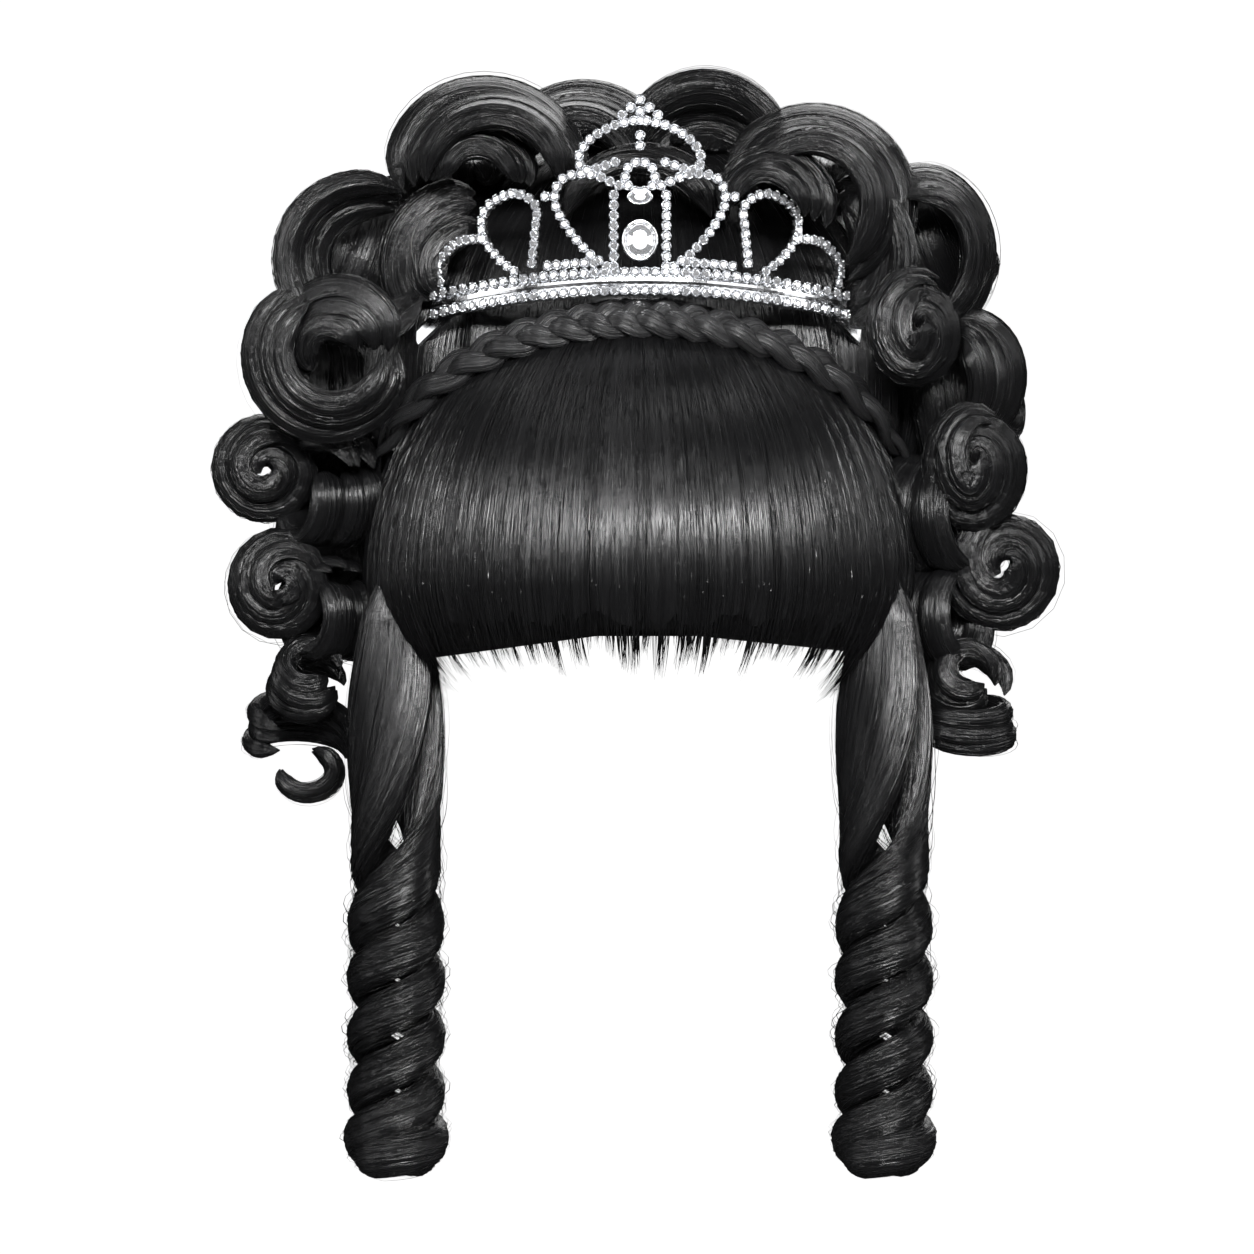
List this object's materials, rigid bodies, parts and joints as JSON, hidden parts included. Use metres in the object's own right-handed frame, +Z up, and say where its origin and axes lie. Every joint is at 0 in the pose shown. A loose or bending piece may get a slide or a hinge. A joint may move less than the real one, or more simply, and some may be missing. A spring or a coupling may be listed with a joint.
{
  "type": "princess costume wig with tiara",
  "caption": "Black costume wig: thick fringe under a plait, a high pile of pinned curls, long ringlets in front of the ears and a stone-set tiara.",
  "frame": {"origin": "inner crown of the cap, the point that bears on the top of a head", "axes": "+Z up, -Y is the front (the fringe), +X is the right side of the front view"},
  "size_m": [0.2867, 0.2459, 0.3728],
  "materials": {
    "black_hair": "glossy straight synthetic hair fibre",
    "cap_net": "matt woven cap under the hair",
    "polished_metal": "bright silver-coloured plating",
    "cut_stone": "clear faceted glass"
  },
  "bodies": {
    "root": {"tiara": "polished_metal", "centre_stone": "cut_stone", "lozenge_stone": "cut_stone", "wig_cap": "cap_net", "plait": "black_hair", "hair_body": "black_hair", "fringe": "black_hair", "left_ringlet": "black_hair", "right_ringlet": "black_hair", "crown_curl_1": "black_hair", "crown_curl_2": "black_hair", "crown_curl_3": "black_hair", "crown_curl_4": "black_hair", "crown_curl_5": "black_hair", "crown_curl_6": "black_hair", "crown_curl_7": "black_hair", "crown_curl_8": "black_hair", "crown_curl_9": "black_hair", "crown_sweep_1": "black_hair", "crown_sweep_2": "black_hair", "crown_sweep_3": "black_hair", "crown_sweep_4": "black_hair", "left_curl_1": "black_hair", "left_curl_2": "black_hair", "left_curl_3": "black_hair", "left_curl_4": "black_hair", "left_curl_5": "black_hair", "left_curl_6": "black_hair", "left_curl_7": "black_hair", "left_curl_8": "black_hair", "left_tail_1": "black_hair", "left_tail_2": "black_hair", "right_curl_1": "black_hair", "right_curl_2": "black_hair", "right_curl_3": "black_hair", "right_curl_4": "black_hair", "right_curl_5": "black_hair", "right_curl_6": "black_hair", "right_curl_7": "black_hair", "right_curl_8": "black_hair", "right_tail_1": "black_hair", "upper_back_curl_1": "black_hair", "upper_back_curl_2": "black_hair", "upper_back_curl_3": "black_hair", "upper_back_curl_4": "black_hair", "upper_back_curl_5": "black_hair", "middle_back_curl_1": "black_hair", "middle_back_curl_2": "black_hair", "middle_back_curl_3": "black_hair", "middle_back_curl_4": "black_hair", "middle_back_curl_5": "black_hair", "middle_back_curl_6": "black_hair", "lower_back_curl_1": "black_hair", "lower_back_curl_2": "black_hair", "lower_back_curl_3": "black_hair", "lower_back_curl_4": "black_hair", "lower_back_curl_5": "black_hair"}
  },
  "joints": []
}
